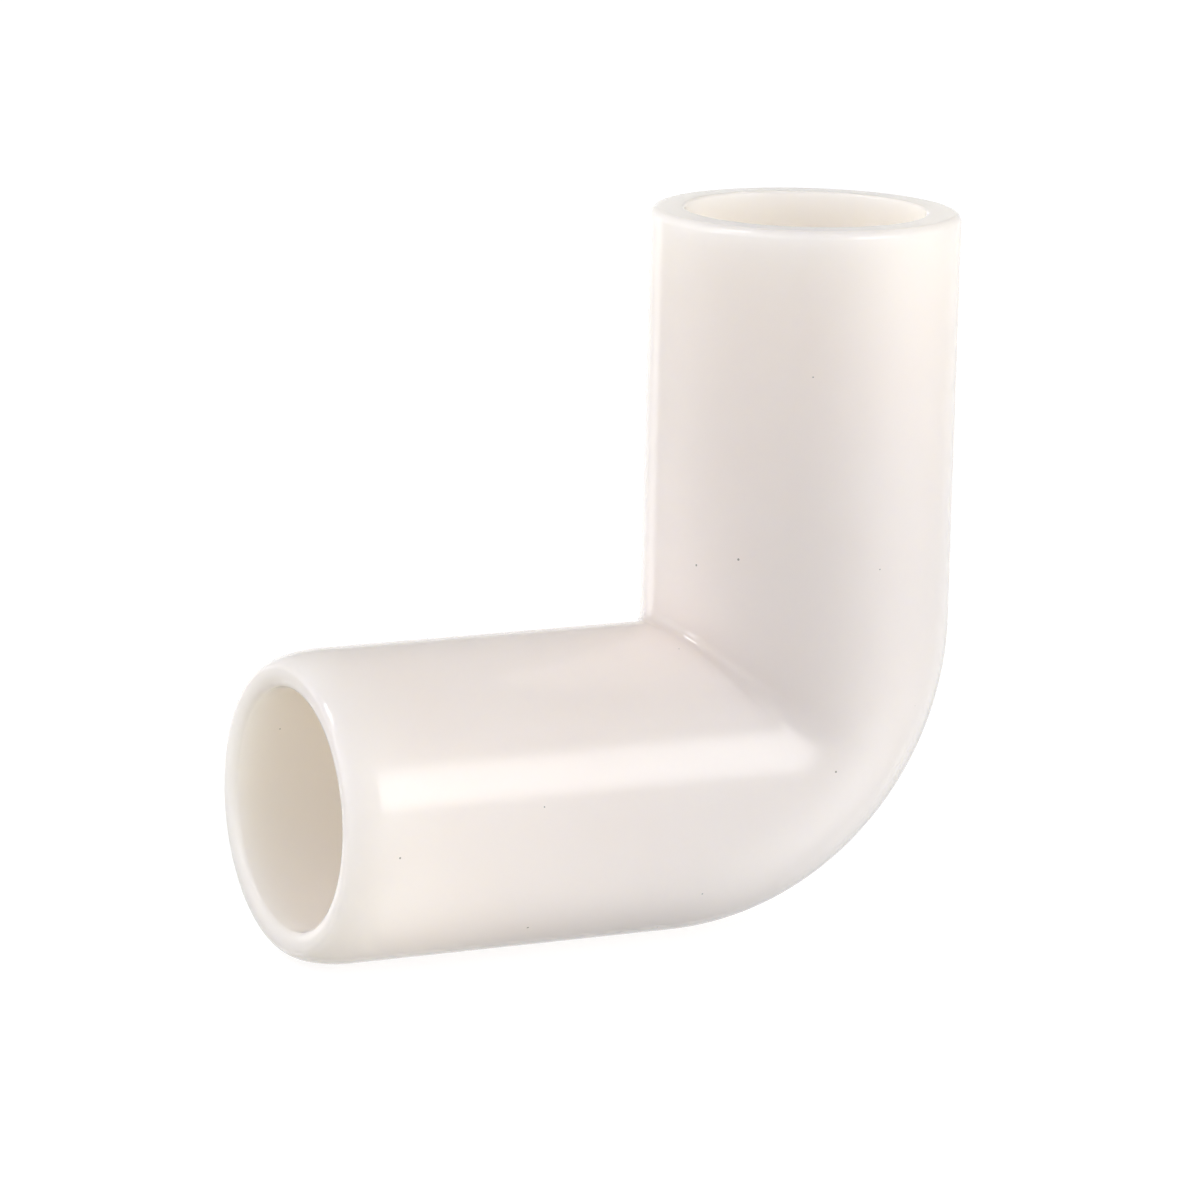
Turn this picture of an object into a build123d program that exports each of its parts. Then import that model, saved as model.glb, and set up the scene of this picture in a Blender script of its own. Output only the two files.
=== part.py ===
from build123d import *
import math
import os
from itertools import pairwise

# One-piece 90 degree PVC pipe elbow with two plain spigot ends of equal size.
# The upright arm runs along +Z, the side arm along -X, and Y = 0 is the plane
# of symmetry. The elbow is drawn about the point where the two arm axes cross
# and then moved, so that the origin is the centre of its footprint on a floor.
# All lengths are millimetres.

# ---- driving dimensions -------------------------------------------------
OUTSIDE_DIAMETER = 25.0      # spigot outside diameter
WALL = 2.8                   # wall thickness of both arms
CENTRE_TO_END = 45.5         # from the crossing of the axes to each end face
SWEEP_RADIUS = 25.0          # radius of the outer back of the bend
ARM_START = 14.0             # where both arms become straight cylinders
BORE_OVERRUN = 1.0           # how far the bore cutter passes each end face

# Quarter-ellipse rounds at the arm ends: (length along the axis, depth across it)
UPRIGHT_OUTER_ROUND = (0.7, 0.7)
UPRIGHT_BORE_ROUND = (0.25, 0.25)
SIDE_OUTER_ROUND = (4.4, 1.4)
SIDE_BORE_ROUND = (0.63, 1.25)

DEGREE = 20                  # degree of the bend surface round half the section
ON_PLANE = 1e-4              # an edge point this close to a plane lies in it

OUTER_R = OUTSIDE_DIAMETER / 2
BORE_R = OUTER_R - WALL

# Corner radius of the bend across the section: (height as a share of the
# section radius, corner radius as a share of the sweep radius). Height -1 is
# the inner corner, 0 the flank and +1 the back of the bend.
CORNER = [
    (-1.0, 0.035), (-0.8, 0.040), (-0.6, 0.055), (-0.4, 0.085),
    (-0.3, 0.115), (-0.2, 0.160), (-0.1, 0.230), (0.0, 0.320),
    (0.2, 0.500), (0.4, 0.660), (0.6, 0.800), (0.8, 0.910), (1.0, 1.000),
]


# ---- bend ---------------------------------------------------------------
def corner_share(height):
    """Monotone cubic interpolation of the CORNER table."""
    heights, shares = zip(*CORNER)
    widths = [b - a for a, b in pairwise(heights)]
    slopes = [(b - a) / width for (a, b), width in zip(pairwise(shares), widths)]

    tangents = [slopes[0]]
    for (before, after), (width_before, width_after) in zip(pairwise(slopes), pairwise(widths)):
        if before * after <= 0:
            tangents.append(0.0)
            continue
        weight_before = 2 * width_after + width_before
        weight_after = width_after + 2 * width_before
        harmonic = weight_before / before + weight_after / after
        tangents.append((weight_before + weight_after) / harmonic)
    tangents.append(slopes[-1])

    i = next(k for k in range(len(widths)) if height <= heights[k + 1])
    width = widths[i]
    t = (height - heights[i]) / width
    return (
        (1 + 2 * t) * (1 - t) ** 2 * shares[i]
        + t * (1 - t) ** 2 * width * tangents[i]
        + t * t * (3 - 2 * t) * shares[i + 1]
        + t * t * (t - 1) * width * tangents[i + 1]
    )


def section_point(radius, sweep, t):
    """Height, depth in Y and corner radius at one place round half the section."""
    angle = math.radians(-90.0 + 180.0 * t)
    height = math.sin(angle)
    return radius * height, -radius * math.cos(angle), sweep * corner_share(height)


def bezier_poles(curve):
    """Poles of the Bezier curve through curve(t) at DEGREE + 1 places in 0..1.

    The curve runs from the inner corner (t = 0) to the back of the bend
    (t = 1). Its first and last two poles are made level with each other, so
    that it meets its mirror image in the plane Y = 0 without a kink.
    """
    count = DEGREE + 1
    rows = []                # Bernstein weights at t, then the point they must give
    for k in range(count):
        t = (1 - math.cos(math.pi * k / DEGREE)) / 2
        weights = [
            math.comb(DEGREE, i) * t ** i * (1 - t) ** (DEGREE - i) for i in range(count)
        ]
        rows.append(weights + list(curve(t)))

    # Gauss-Jordan elimination with row pivoting
    for column in range(count):
        pivot = max(range(column, count), key=lambda k: abs(rows[k][column]))
        rows[column], rows[pivot] = rows[pivot], rows[column]
        for k in range(count):
            if k != column:
                factor = rows[k][column] / rows[column][column]
                rows[k] = [a - factor * b for a, b in zip(rows[k], rows[column])]
    poles = [[value / row[k] for value in row[count:]] for k, row in enumerate(rows)]

    for end, near in ((0, 1), (-1, -2)):
        poles[end][1] = 0.0
        poles[near][0], poles[near][2] = poles[end][0], poles[end][2]
    return [Vector(*pole) for pole in poles]


def half_bend(radius, sweep):
    """Solid half of the bend, between the upright arm and the mitre plane.

    Every line of constant Y runs straight down the upright arm and then turns
    through 45 degrees on an arc, which ends in the mitre plane Z = -X.
    """
    half_turn = math.radians(22.5)

    def poles_of(place):
        return bezier_poles(lambda t: place(*section_point(radius, sweep, t)))

    def arm_end(height, depth, corner):
        return height, depth, ARM_START

    def arc_start(height, depth, corner):
        return height, depth, corner - height

    def arc_control(height, depth, corner):
        return height, depth, corner - height - corner * math.tan(half_turn)

    def arc_end(height, depth, corner):
        z = corner - height - corner * math.sin(2 * half_turn)
        return -z, depth, z

    top_row, start_row, control_row, end_row = map(
        poles_of, (arm_end, arc_start, arc_control, arc_end)
    )
    # Put the last row exactly in the mitre plane
    end_row = [Vector((p.X - p.Z) / 2, p.Y, (p.Z - p.X) / 2) for p in end_row]

    count = DEGREE + 1
    run = Face.make_bezier_surface([top_row, start_row])
    arc = Face.make_bezier_surface(
        [start_row, control_row, end_row],
        [[1.0] * count, [math.cos(half_turn)] * count, [1.0] * count],
    )
    faces = [run, arc, run.mirror(Plane.XZ), arc.mirror(Plane.XZ)]

    # Close the two open ends with flat faces
    top_edges, mitre_edges = [], []
    for edge in (edge for face in faces for edge in face.edges()):
        middle = edge.position_at(0.5)
        if abs(middle.Y) < ON_PLANE:
            continue         # a seam in the plane of symmetry
        if abs(middle.Z - ARM_START) < ON_PLANE:
            top_edges.append(edge)
        if all(abs(p.Z + p.X) < ON_PLANE for p in (middle, edge.position_at(0.2))):
            mitre_edges.append(edge)
    top = Face(Wire(top_edges))
    mitre = Face(Wire(mitre_edges))
    return Solid(Shell(faces + [top, mitre]))


# ---- arms ---------------------------------------------------------------
def lines(points):
    """Straight edges in XZ joining (x, z) points in turn."""
    return [Edge.make_line((a[0], 0, a[1]), (b[0], 0, b[1])) for a, b in pairwise(points)]


def arm(radius, end_round, is_bore):
    """Solid arm about Z, narrowed at its end, or for a bore flared and overrun."""
    length, depth = end_round
    round_start = CENTRE_TO_END - length
    end_radius = radius + depth if is_bore else radius - depth
    start_angle = 90 if is_bore else 0
    frame = Plane(origin=(end_radius, 0, round_start), x_dir=(1, 0, 0), z_dir=(0, -1, 0))
    rounding = Edge.make_ellipse(
        depth, length, plane=frame, start_angle=start_angle, end_angle=start_angle + 90
    )
    side = [(0, ARM_START), (radius, ARM_START), (radius, round_start)]
    tip = [(end_radius, CENTRE_TO_END)]
    top = CENTRE_TO_END
    if is_bore:
        top += BORE_OVERRUN
        tip.append((end_radius, top))
    tip += [(0, top), (0, ARM_START)]
    profile = Face(Wire(lines(side) + [rounding] + lines(tip)))
    return revolve(profile, axis=Axis.Z, revolution_arc=360).solid()


# ---- elbow --------------------------------------------------------------
def elbow(radius, sweep, upright_round, side_round, is_bore):
    """One closed elbow: the bend and its two arms, joined."""
    upright = arm(radius, upright_round, is_bore)
    side = arm(radius, side_round, is_bore)
    half = half_bend(radius, sweep)
    other = half.mirror(Plane(origin=(0, 0, 0), z_dir=(1, 0, 1)))
    return half.fuse(other).fuse(upright, Rot(0, -90, 0) * side)


def elbow_body():
    """The outer elbow with the passage cut out, standing on Z = 0."""
    outside = elbow(OUTER_R, SWEEP_RADIUS, UPRIGHT_OUTER_ROUND, SIDE_OUTER_ROUND, False)
    passage = elbow(BORE_R, SWEEP_RADIUS - WALL, UPRIGHT_BORE_ROUND, SIDE_BORE_ROUND, True)
    to_floor = Pos((CENTRE_TO_END - OUTER_R) / 2, 0, OUTER_R)
    return (to_floor * outside).cut(to_floor * passage).solid()


os.makedirs("parts", exist_ok=True)
body = elbow_body()
body.label = "elbow_body"
export_step(body, "parts/elbow_body.step")
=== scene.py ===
"""A one-piece ivory PVC pipe elbow with two plain arms at a right angle.

The origin is the centre of the footprint, +Z is up. The upright arm runs along +Z
and the side arm along -X. The elbow is drawn in millimetres about the crossing of
the arm axes, then moved by CROSSING and scaled to metres.
"""
import math
import bmesh
import bpy
import numpy as np
from mathutils import Matrix, Vector


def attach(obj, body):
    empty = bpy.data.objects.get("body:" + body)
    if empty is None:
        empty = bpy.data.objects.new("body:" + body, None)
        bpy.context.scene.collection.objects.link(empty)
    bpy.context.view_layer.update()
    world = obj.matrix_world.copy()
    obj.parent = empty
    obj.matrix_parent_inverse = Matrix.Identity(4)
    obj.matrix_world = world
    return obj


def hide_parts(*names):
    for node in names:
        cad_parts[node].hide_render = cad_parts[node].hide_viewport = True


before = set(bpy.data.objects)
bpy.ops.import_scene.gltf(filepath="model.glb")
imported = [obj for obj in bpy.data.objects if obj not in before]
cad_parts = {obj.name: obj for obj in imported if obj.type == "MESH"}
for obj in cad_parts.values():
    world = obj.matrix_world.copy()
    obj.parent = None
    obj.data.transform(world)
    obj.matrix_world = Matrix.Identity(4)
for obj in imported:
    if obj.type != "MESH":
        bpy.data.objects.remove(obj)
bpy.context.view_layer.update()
scene = bpy.context.scene

# ---- sizes, in millimetres -------------------------------------------------
MM = 0.001                         # metres in a millimetre
OUTER_R = 12.5
WALL = 2.8
BORE_R = OUTER_R - WALL
END = 45.5                         # from the crossing to the end of either arm
SWEEP = 25.0                       # corner radius along the outermost line of the bend
ARM_START = 14.0                   # from the crossing to the straight part of an arm
NOSE_LENGTH, NOSE_DEPTH = 4.4, 1.4         # tapered entry of the side arm
MOUTH_LENGTH, MOUTH_DEPTH = 0.63, 1.25     # rounding of the side arm's bore mouth
RIM_OUTER_ROUND = 0.7              # edge rounds of the upright arm's rim
RIM_INNER_ROUND = 0.25
CROSSING = np.array([(END - OUTER_R) / 2, 0.0, OUTER_R])

COLUMNS = 276                      # vertices in each ring
RUN_RINGS = 14                     # rings from an arm to the corner
ARC_STEPS = 44                     # steps round the corner
RUN_EASE = 1.6                     # above 1 crowds the run's rings towards the corner

# Place across the bend, from -1 on its inside to 1 on its outside,
# and the corner radius there as a share of the sweep.
CORNER = [
    (-1.0, 0.035), (-0.8, 0.040), (-0.6, 0.055), (-0.4, 0.085),
    (-0.3, 0.115), (-0.2, 0.160), (-0.1, 0.230), (0.0, 0.320),
    (0.2, 0.500), (0.4, 0.660), (0.6, 0.800), (0.8, 0.910), (1.0, 1.000),
]


# ---- rings -----------------------------------------------------------------
theta = np.linspace(0.0, 2 * math.pi, COLUMNS, endpoint=False)
SIN, COS = np.sin(theta), np.cos(theta)    # SIN is 1 on the outside of the bend


def upright_ring(radius, along):
    """A ring round the upright arm."""
    return np.stack([radius * SIN, -radius * COS, np.full(COLUMNS, along)], -1)


def side_ring(radius, along):
    """The matching ring round the side arm."""
    return np.stack([np.full(COLUMNS, -along), -radius * COS, -radius * SIN], -1)


def straight(ring, radius, start, end, count):
    """Evenly spaced rings of one radius."""
    return [ring(radius, along) for along in np.linspace(start, end, count)]


def end_round(ring, radius, depth, length, angles):
    """Elliptical round where a wall meets an arm's end; depth is negative in the bore."""
    return [ring(radius - depth + depth * math.cos(angle),
                 END - length + length * math.sin(angle)) for angle in angles]


def corner_share(across):
    """Monotone cubic through CORNER."""
    places, shares = np.array(CORNER).T
    width = np.diff(places)
    rise = np.diff(shares) / width
    # weighted harmonic means of the neighbouring slopes keep the curve monotone
    slope = np.zeros(len(places))
    slope[0], slope[-1] = rise[0], rise[-1]
    weight_before = 2 * width[1:] + width[:-1]
    weight_after = width[1:] + 2 * width[:-1]
    slope[1:-1] = ((weight_before + weight_after)
                   / (weight_before / rise[:-1] + weight_after / rise[1:]))
    i = np.clip(np.searchsorted(places, across, side="right") - 1, 0, len(width) - 1)
    u = (across - places[i]) / width[i]
    return ((1 + 2 * u) * (1 - u) ** 2 * shares[i]
            + u * (1 - u) ** 2 * width[i] * slope[i]
            + u * u * (3 - 2 * u) * shares[i + 1]
            + u * u * (u - 1) * width[i] * slope[i + 1])


def bend_rings(radius, sweep):
    """Rings from the upright arm's end of the bend to the side arm's."""
    outward, y = radius * SIN, -radius * COS
    corner_r = sweep * corner_share(SIN)
    corner_start = corner_r - outward      # from the crossing, along either arm
    run = []
    for k in range(1, RUN_RINGS + 1):
        eased = 1 - (1 - k / RUN_RINGS) ** RUN_EASE
        run.append(ARM_START + (corner_start - ARM_START) * eased)

    rings = [np.stack([outward, y, along], -1) for along in run]
    for k in range(1, ARC_STEPS):
        angle = 0.5 * math.pi * k / ARC_STEPS
        rings.append(np.stack([corner_r * math.cos(angle) - corner_start, y,
                               corner_start - corner_r * math.sin(angle)], -1))
    rings += [np.stack([-along, y, -outward], -1) for along in reversed(run)]
    return rings


# ---- elbow -----------------------------------------------------------------
def outside_rings():
    """From the rim down the upright arm, round the bend and over the side arm's nose."""
    rings = straight(upright_ring, OUTER_R, END - RIM_OUTER_ROUND, ARM_START, 40)
    rings += bend_rings(OUTER_R, SWEEP)
    rings += straight(side_ring, OUTER_R, ARM_START, END - NOSE_LENGTH, 36)
    rings += end_round(side_ring, OUTER_R, NOSE_DEPTH, NOSE_LENGTH,
                       np.linspace(0, math.pi / 2, 29)[1:])
    return rings


def bore_rings():
    """From the side arm's mouth, through the bore, to the upright arm's rim."""
    rings = end_round(side_ring, BORE_R, -MOUTH_DEPTH, MOUTH_LENGTH,
                      np.linspace(math.pi / 2, 0, 15))
    rings += straight(side_ring, BORE_R, END - MOUTH_LENGTH, ARM_START, 36)[1:]
    rings += bend_rings(BORE_R, SWEEP - WALL)[::-1]
    rings += straight(upright_ring, BORE_R, ARM_START, END - RIM_INNER_ROUND, 38)
    return rings


def rim_rings():
    """Over the upright arm's rim, from the bore back to the outside."""
    rings = end_round(upright_ring, BORE_R, -RIM_INNER_ROUND, RIM_INNER_ROUND,
                      np.linspace(0, math.pi / 2, 8)[1:])
    flat = np.linspace(BORE_R + RIM_INNER_ROUND, OUTER_R - RIM_OUTER_ROUND, 5)[1:-1]
    rings += [upright_ring(radius, END) for radius in flat]
    rings += end_round(upright_ring, OUTER_R, RIM_OUTER_ROUND, RIM_OUTER_ROUND,
                       np.linspace(math.pi / 2, 0, 15)[:-1])
    return rings


def face_outwards(mesh):
    """Make the normals point out of the plastic."""
    bm = bmesh.new()
    bm.from_mesh(mesh)
    if bm.calc_volume(signed=True) < 0:
        bmesh.ops.reverse_faces(bm, faces=bm.faces)
    bm.to_mesh(mesh)
    bm.free()


def build_elbow():
    """One closed skin: the rings join in a loop, and so do their columns."""
    rings = outside_rings() + bore_rings() + rim_rings()
    points = (np.concatenate(rings) + CROSSING) * MM
    here = np.arange(len(points)).reshape(len(rings), COLUMNS)
    beside = np.roll(here, -1, axis=1)
    corners = [here, beside, np.roll(beside, -1, axis=0), np.roll(here, -1, axis=0)]
    faces = np.stack(corners, -1).reshape(-1, 4)

    mesh = bpy.data.meshes.new("elbow_moulding")
    mesh.vertices.add(len(points))
    mesh.vertices.foreach_set("co", points.ravel())
    mesh.loops.add(faces.size)
    mesh.loops.foreach_set("vertex_index", faces.ravel())
    mesh.polygons.add(len(faces))
    mesh.polygons.foreach_set("loop_start", np.arange(len(faces)) * 4)
    mesh.polygons.foreach_set("loop_total", np.full(len(faces), 4))
    mesh.update(calc_edges=True)
    mesh.validate()
    mesh.polygons.foreach_set("use_smooth", np.ones(len(faces), bool))
    face_outwards(mesh)
    elbow = bpy.data.objects.new("elbow_moulding", mesh)
    scene.collection.objects.link(elbow)
    return elbow


# ---- shader helpers --------------------------------------------------------
def empty_tree(owner):
    """The cleared node tree of a material or world."""
    owner.use_nodes = True
    owner.node_tree.nodes.clear()
    return owner.node_tree


def add_node(tree, kind, inputs, **settings):
    """A shader node; an input given as a socket is linked, any other is set."""
    node = tree.nodes.new("ShaderNode" + kind)
    for name, value in settings.items():
        setattr(node, name, value)
    for key, value in inputs.items():
        if isinstance(value, bpy.types.NodeSocket):
            tree.links.new(value, node.inputs[key])
        else:
            node.inputs[key].default_value = value
    return node


def maths(tree, operation, *operands):
    return add_node(tree, "Math", dict(enumerate(operands)), operation=operation).outputs[0]


def camera_switch(tree, unseen, seen):
    """Shows one shader to the camera and the other to every other ray."""
    path = add_node(tree, "LightPath", {})
    inputs = {0: path.outputs["Is Camera Ray"], 1: unseen.outputs[0], 2: seen.outputs[0]}
    return add_node(tree, "MixShader", inputs).outputs[0]


# ---- plastic ---------------------------------------------------------------
SPECK_CELLS = 260.0                # speck cells per metre, in each direction
SPECK_SHIFT = (0.0, 0.0, 0.0)      # moves the specks through the plastic, metres
SPECK_SIZE = (0.012, 0.028)        # least and greatest radius, as a share of a cell
SPECK_COLOUR = (0.36, 0.30, 0.24, 1)
# The ends of the mottling: place on the noise, colour.
MOTTLE = [(0.3, (0.931, 0.765, 0.676, 1)), (0.7, (0.951, 0.790, 0.703, 1))]
ROUGHNESS = (0.075, 0.11)


def pvc():
    """Ivory plastic: faint mottling, a few dark specks, a slightly uneven gloss."""
    material = bpy.data.materials.new("ivory_pvc")
    tree = empty_tree(material)
    position = add_node(tree, "NewGeometry", {}).outputs["Position"]

    def noise(scale, detail):
        inputs = {"Vector": position, "Scale": scale, "Detail": detail, "Roughness": 0.5}
        return add_node(tree, "TexNoise", inputs).outputs["Fac"]

    def spread(value, limits):
        """Maps 0 to 1 onto the two limits."""
        inputs = {"Value": value, "To Min": limits[0], "To Max": limits[1]}
        return add_node(tree, "MapRange", inputs).outputs["Result"]

    mottle = add_node(tree, "ValToRGB", {"Fac": noise(scale=60.0, detail=3.0)})
    for element, (place, colour) in zip(mottle.color_ramp.elements, MOTTLE):
        element.position = place
        element.color = colour

    # each speck is a small ball cut by the surface
    shifted = add_node(tree, "VectorMath", {0: position, 1: SPECK_SHIFT}, operation="ADD")
    cell = add_node(tree, "TexVoronoi",
                    {"Vector": shifted.outputs["Vector"], "Scale": SPECK_CELLS})
    speck = maths(tree, "LESS_THAN", cell.outputs["Distance"],
                  spread(cell.outputs["Color"], SPECK_SIZE))
    tone = add_node(tree, "MixRGB", {
        "Fac": speck, "Color1": mottle.outputs["Color"], "Color2": SPECK_COLOUR})

    bump = add_node(tree, "Bump", {
        "Strength": 0.05, "Distance": 0.00002, "Height": noise(scale=2600.0, detail=2.0)})
    plastic = add_node(tree, "BsdfPrincipled", {
        "Base Color": tone.outputs["Color"],
        "Roughness": spread(noise(scale=900.0, detail=3.0), ROUGHNESS),
        "IOR": 1.53,
        "Subsurface Weight": 1.0,
        "Subsurface Radius": (1.10, 1.07, 0.875),
        "Subsurface Scale": 0.0125,
        "Normal": bump.outputs["Normal"],
    })
    add_node(tree, "OutputMaterial", {0: plastic.outputs[0]})
    return material


elbow = build_elbow()
plastic = pvc()
elbow.data.materials.append(plastic)
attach(elbow, "root")
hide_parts("elbow_body")
cad_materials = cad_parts["elbow_body"].data.materials
cad_materials.clear()
cad_materials.append(plastic)

# ---- floor -----------------------------------------------------------------
FLOOR_HALF = 6.0                   # metres
FLOOR_DROP = 0.00005               # gap below the elbow, metres
FLOOR_GLOW = 1.15
FLOOR_GLOW_SHARE = 0.72            # the rest is diffuse and catches a faint shadow


def pale_floor():
    """Only the camera sees it, so room light from below still reaches the elbow."""
    material = bpy.data.materials.new("pale_floor")
    tree = empty_tree(material)
    matt = add_node(tree, "BsdfDiffuse", {"Color": (0.92, 0.92, 0.92, 1)})
    glow = add_node(tree, "Emission", {"Color": (1, 1, 1, 1), "Strength": FLOOR_GLOW})
    pale = add_node(tree, "MixShader",
                    {0: FLOOR_GLOW_SHARE, 1: matt.outputs[0], 2: glow.outputs[0]})
    clear = add_node(tree, "BsdfTransparent", {})
    add_node(tree, "OutputMaterial", {0: camera_switch(tree, unseen=clear, seen=pale)})
    return material


def build_floor():
    mesh = bpy.data.meshes.new("floor")
    signs = [(-1, -1), (1, -1), (1, 1), (-1, 1)]
    mesh.from_pydata([(x * FLOOR_HALF, y * FLOOR_HALF, 0) for x, y in signs],
                     [], [(0, 1, 2, 3)])
    floor = bpy.data.objects.new("floor", mesh)
    scene.collection.objects.link(floor)
    floor.location.z = -FLOOR_DROP
    mesh.materials.append(pale_floor())
    return floor


build_floor()

# ---- light -----------------------------------------------------------------
# Azimuth is measured from -Y towards +X, elevation above the horizon, in degrees.
# Soft lobes: azimuth, elevation, sharpness, strength.
LOBES = [
    (-100, 47, 6, 0.39), (-153, 34, 6, 0.50), (-68, 26, 6, 1.41), (17, 19, 6, 1.44),
    (-120, 15, 6, 1.88), (50, 2, 6, 1.18), (167, -22, 6, 0.60), (30, -26, 6, 0.33),
    (62, -47, 6, 2.06), (150, 45, 8, 0.40), (120, -10, 8, 0.64), (172, -5, 10, 0.64),
    (80, 28, 10, 0.38),
]
# Flat-sided softboxes: azimuth from and to, elevation from and to,
# edge softness in azimuth and in elevation, strength.
SOFTBOXES = [
    (9, 38, 7, 32, 1, 6, 3.70), (187, 199, -40, 12, 2, 4, 0.90),
    (109, 125, -40, 12, 2, 4, 0.24), (125, 187, -13, 9, 3, 3, 0.26),
    (34, 60, -10, 34, 3, 3, 0.20), (-85, -35, -10, 30, 5, 5, 0.45),
    (-112, -88, 47, 61, 1, 1, 10.0), (-105, -95, -2, 30, 1.5, 3, 3.50),
]
ROOM = 1.032                       # overall strength of the light
BACKDROP = 0.97                    # brightness the camera sees behind the elbow


def direction(azimuth, elevation):
    a, e = math.radians(azimuth), math.radians(elevation)
    return (math.sin(a) * math.cos(e), -math.cos(a) * math.cos(e), math.sin(e))


def build_world():
    world = bpy.data.worlds.new("studio")
    scene.world = world
    tree = empty_tree(world)
    view = add_node(tree, "TexCoord", {}).outputs["Generated"]

    def towards(axis):
        dot = add_node(tree, "VectorMath", {0: view, 1: axis}, operation="DOT_PRODUCT")
        return dot.outputs["Value"]

    def fade(angle, half, soft):
        """1 within half of zero, 0 beyond it, with a soft edge; half and soft in degrees."""
        half, soft = math.radians(half), math.radians(soft)
        inputs = {"Value": maths(tree, "ABSOLUTE", angle),
                  "From Min": half - soft, "From Max": half + soft,
                  "To Min": 1.0, "To Max": 0.0}
        edge = add_node(tree, "MapRange", inputs, interpolation_type="SMOOTHSTEP")
        return edge.outputs["Result"]

    total = 0.0
    for azimuth, elevation, sharpness, strength in LOBES:
        falloff = maths(tree, "MULTIPLY_ADD", towards(direction(azimuth, elevation)),
                        sharpness, -sharpness)
        total = maths(tree, "MULTIPLY_ADD", maths(tree, "EXPONENT", falloff), strength, total)

    height = maths(tree, "ARCSINE", towards((0, 0, 1)))
    for az_from, az_to, el_from, el_to, az_soft, el_soft, strength in SOFTBOXES:
        middle = (az_from + az_to) / 2
        across = maths(tree, "ARCTAN2", towards(direction(middle + 90, 0)),
                       towards(direction(middle, 0)))
        up = maths(tree, "SUBTRACT", height, math.radians((el_from + el_to) / 2))
        box = maths(tree, "MULTIPLY", fade(across, (az_to - az_from) / 2, az_soft),
                    fade(up, (el_to - el_from) / 2, el_soft))
        total = maths(tree, "MULTIPLY_ADD", box, strength, total)

    room = add_node(tree, "Background", {"Strength": maths(tree, "MULTIPLY", total, ROOM)})
    backdrop = add_node(tree, "Background", {"Color": (1, 1, 1, 1), "Strength": BACKDROP})
    add_node(tree, "OutputWorld", {0: camera_switch(tree, unseen=room, seen=backdrop)})


build_world()

# ---- camera ----------------------------------------------------------------
# The camera's own axes, and its place from the crossing in metres.
CAMERA_RIGHT = (0.8843908, -0.4661497, 0.0236085)
CAMERA_UP = (0.0729942, 0.1880907, 0.9794354)
CAMERA_BACK = (-0.4610041, -0.8644804, 0.2003719)
CAMERA_PLACE = (-0.2793346, -0.4885457, 0.1279332)


def build_camera():
    lens = bpy.data.cameras.new("camera")
    lens.sensor_width = 36.0
    lens.sensor_fit = "HORIZONTAL"
    lens.lens = 212.376
    lens.shift_x = 0.008734
    lens.shift_y = 0.001768
    lens.clip_start = 0.01
    lens.clip_end = 50.0
    camera = bpy.data.objects.new("camera", lens)
    scene.collection.objects.link(camera)
    pose = Matrix((CAMERA_RIGHT, CAMERA_UP, CAMERA_BACK)).transposed().to_4x4()
    pose.translation = Vector(CAMERA_PLACE) + Vector(CROSSING * MM)
    camera.matrix_world = pose
    scene.camera = camera


build_camera()
scene.view_settings.view_transform = "Standard"
scene.view_settings.look = "None"
scene.view_settings.exposure = 0.0
scene.view_settings.gamma = 1.0
